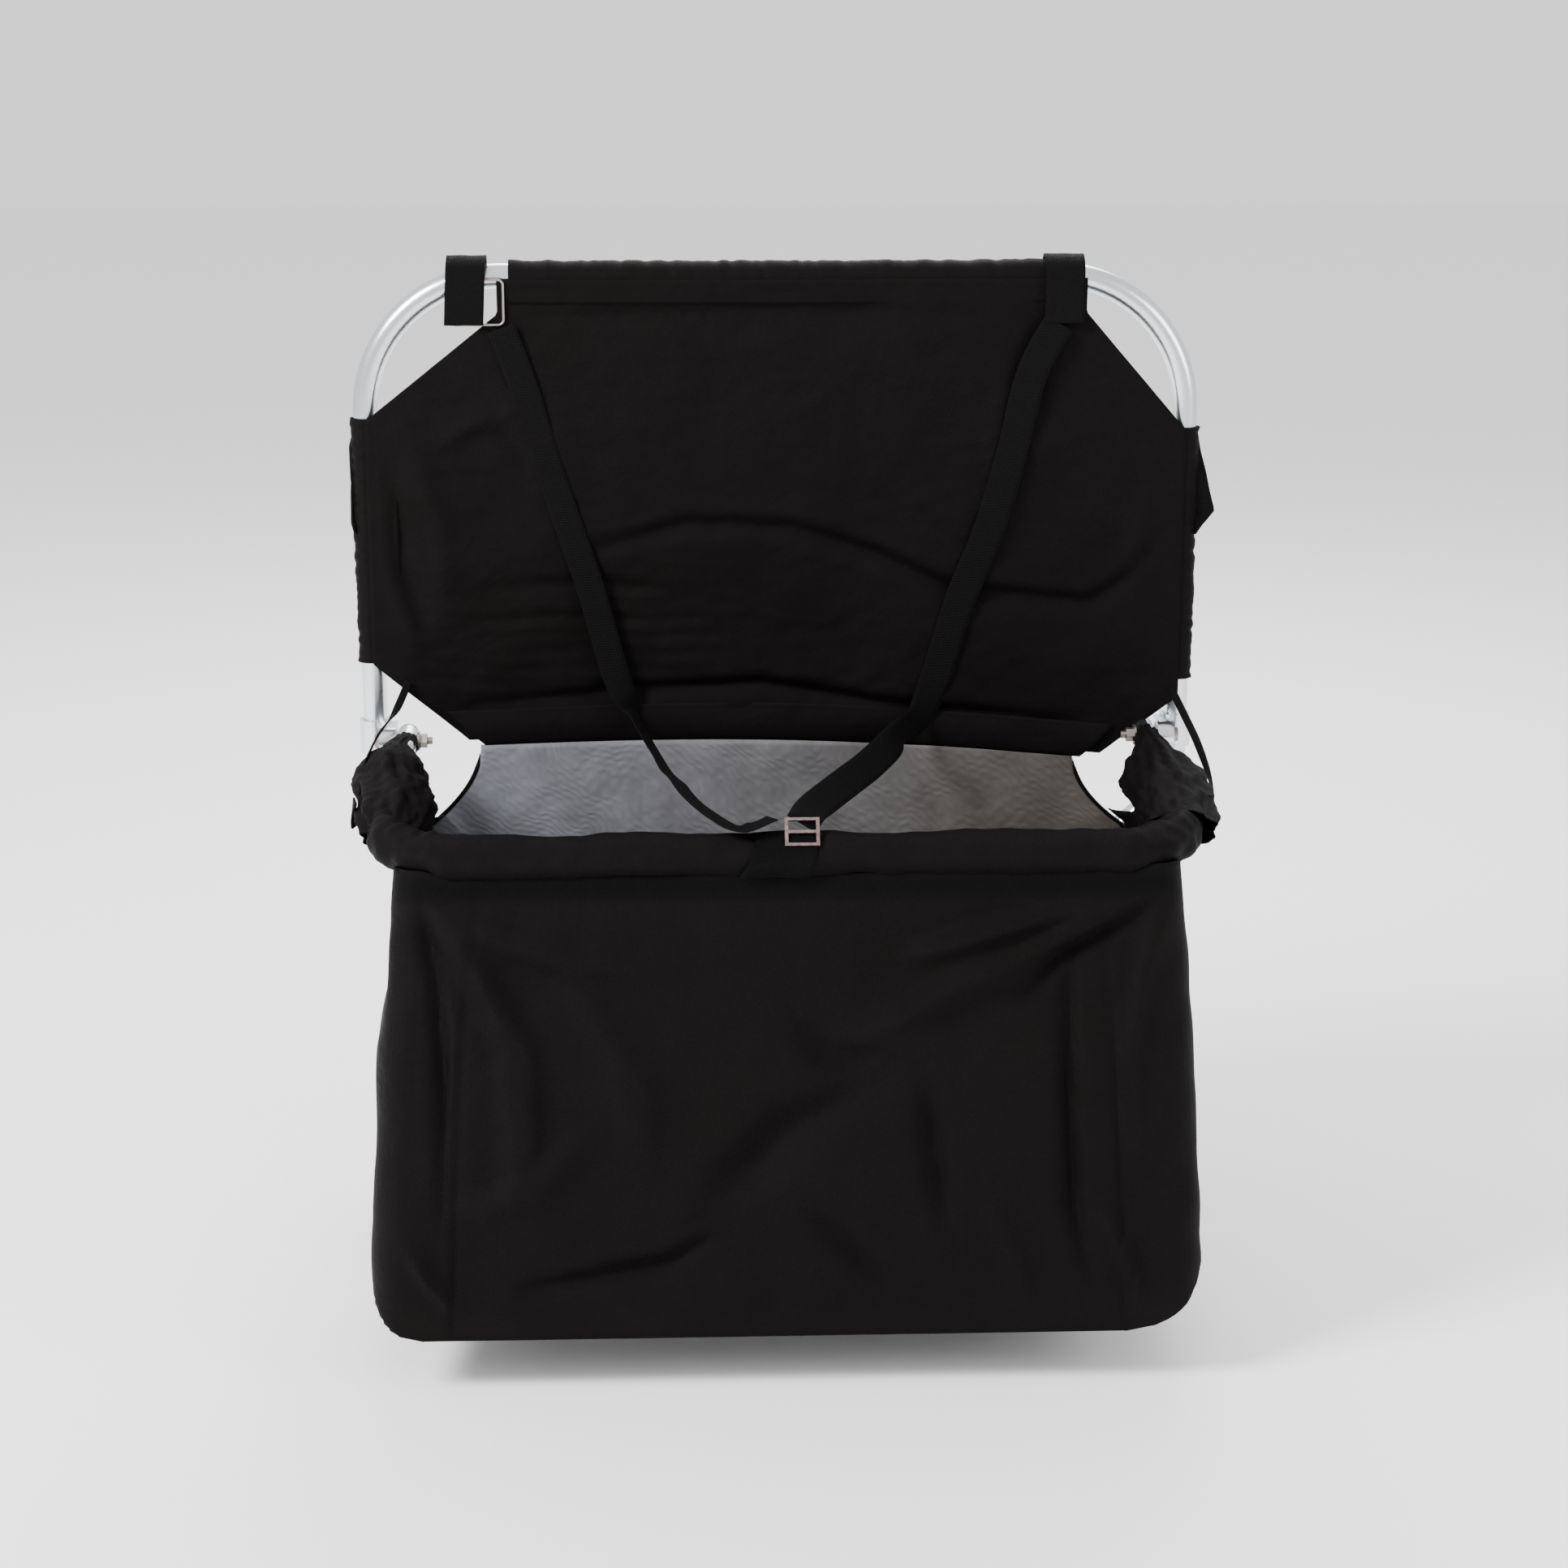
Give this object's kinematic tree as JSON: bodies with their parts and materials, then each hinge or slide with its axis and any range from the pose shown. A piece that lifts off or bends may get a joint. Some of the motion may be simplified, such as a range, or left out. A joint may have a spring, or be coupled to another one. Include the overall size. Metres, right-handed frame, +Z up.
{
  "type": "shopping trolley bag on a folding tube frame",
  "caption": "Open black cloth shopping trolley bag hung from a fold-up mouth hoop on a tall bright tube frame with a cloth back panel, load straps and rear wheels.",
  "frame": {"origin": "on the ground, under the middle of the overall box", "axes": "+X to the right seen from the front, +Y to the back (wheels), +Z up"},
  "size_m": [0.676, 0.4196, 0.8212],
  "materials": {
    "chrome_tube": "polished",
    "steel": "zinc plated",
    "black_plastic": "moulded",
    "wheel_plastic": "moulded",
    "rubber": "matt",
    "tyre": "matt",
    "black_cloth": "coated woven polyester",
    "lining": "grey coated reverse side",
    "webbing": "woven webbing",
    "board": "hardboard"
  },
  "bodies": {
    "frame": {"axle": "steel", "axle_bracket_left": "steel", "axle_bracket_right": "steel", "axle_cap_left": "black_plastic", "axle_cap_right": "black_plastic", "axle_spacer_left": "black_plastic", "axle_spacer_right": "black_plastic", "back_panel": "black_cloth", "back_piping_left": "black_cloth", "back_piping_right": "black_cloth", "bag_back": "lining", "base_loop": "chrome_tube", "check_strap_left": "webbing", "check_strap_right": "webbing", "cross_rail_lower": "chrome_tube", "cross_rail_upper": "chrome_tube", "foot_left": "rubber", "foot_right": "rubber", "frame_hoop": "chrome_tube", "lower_hem": "black_cloth", "pivot_bolt_left": "steel", "pivot_bolt_right": "steel", "pivot_clamp_left": "steel", "pivot_clamp_right": "steel", "pivot_nut_left": "steel", "pivot_nut_right": "steel", "pivot_washer_left": "steel", "pivot_washer_right": "steel", "side_tab_left": "webbing", "side_tab_right": "webbing", "strap_ring": "steel", "v_strap_left": "webbing", "v_strap_right": "webbing", "web_loop_left": "webbing", "web_loop_right": "webbing"},
    "hoop": {"anchor_tab": "webbing", "arm_cover_left": "black_cloth", "arm_cover_right": "black_cloth", "arm_plug_left": "black_plastic", "arm_plug_right": "black_plastic", "check_anchor_left": "webbing", "check_anchor_right": "webbing", "front_roll": "black_cloth", "mouth_hoop": "chrome_tube", "slider": "steel"},
    "bag": {"bag_front": "black_cloth", "bag_gusset_left": "black_cloth", "bag_gusset_right": "black_cloth"},
    "floor": {"bag_base": "black_cloth", "base_board": "board"},
    "wheel_left": {"bush_left": "black_plastic", "rim_left": "wheel_plastic", "tyre_left": "tyre"},
    "wheel_right": {"bush_right": "black_plastic", "rim_right": "wheel_plastic", "tyre_right": "tyre"}
  },
  "joints": [
    {"name": "mouth_fold", "type": "hinge", "parent": "frame", "child": "hoop", "pos_m": [0, 0.03782, 0.446], "axis": [-1, 0, 0], "range_deg": [0, 80], "deforming": ["arm_cover_left", "arm_cover_right", "bag_gusset_left", "bag_gusset_right", "check_strap_left", "check_strap_right", "v_strap_left", "v_strap_right"]},
    {"name": "bag_hang", "type": "hinge", "parent": "hoop", "child": "bag", "pos_m": [0, -0.19022, 0.41598], "axis": [1, 0, 0], "range_deg": [0, 80]},
    {"name": "floor_fold", "type": "hinge", "parent": "frame", "child": "floor", "pos_m": [0, 0.04112, 0.07852], "axis": [-1, 0, 0], "range_deg": [0, 80]},
    {"name": "wheel_left_spin", "type": "hinge", "parent": "frame", "child": "wheel_left", "pos_m": [-0.294, 0.13982, 0.07], "axis": [1, 0, 0], "continuous": true},
    {"name": "wheel_right_spin", "type": "hinge", "parent": "frame", "child": "wheel_right", "pos_m": [0.294, 0.13982, 0.07], "axis": [1, 0, 0], "continuous": true}
  ],
  "couplings": [
    {"joint": "bag_hang", "follows": "mouth_fold", "ratio": 1},
    {"joint": "floor_fold", "follows": "mouth_fold", "ratio": 1}
  ]
}
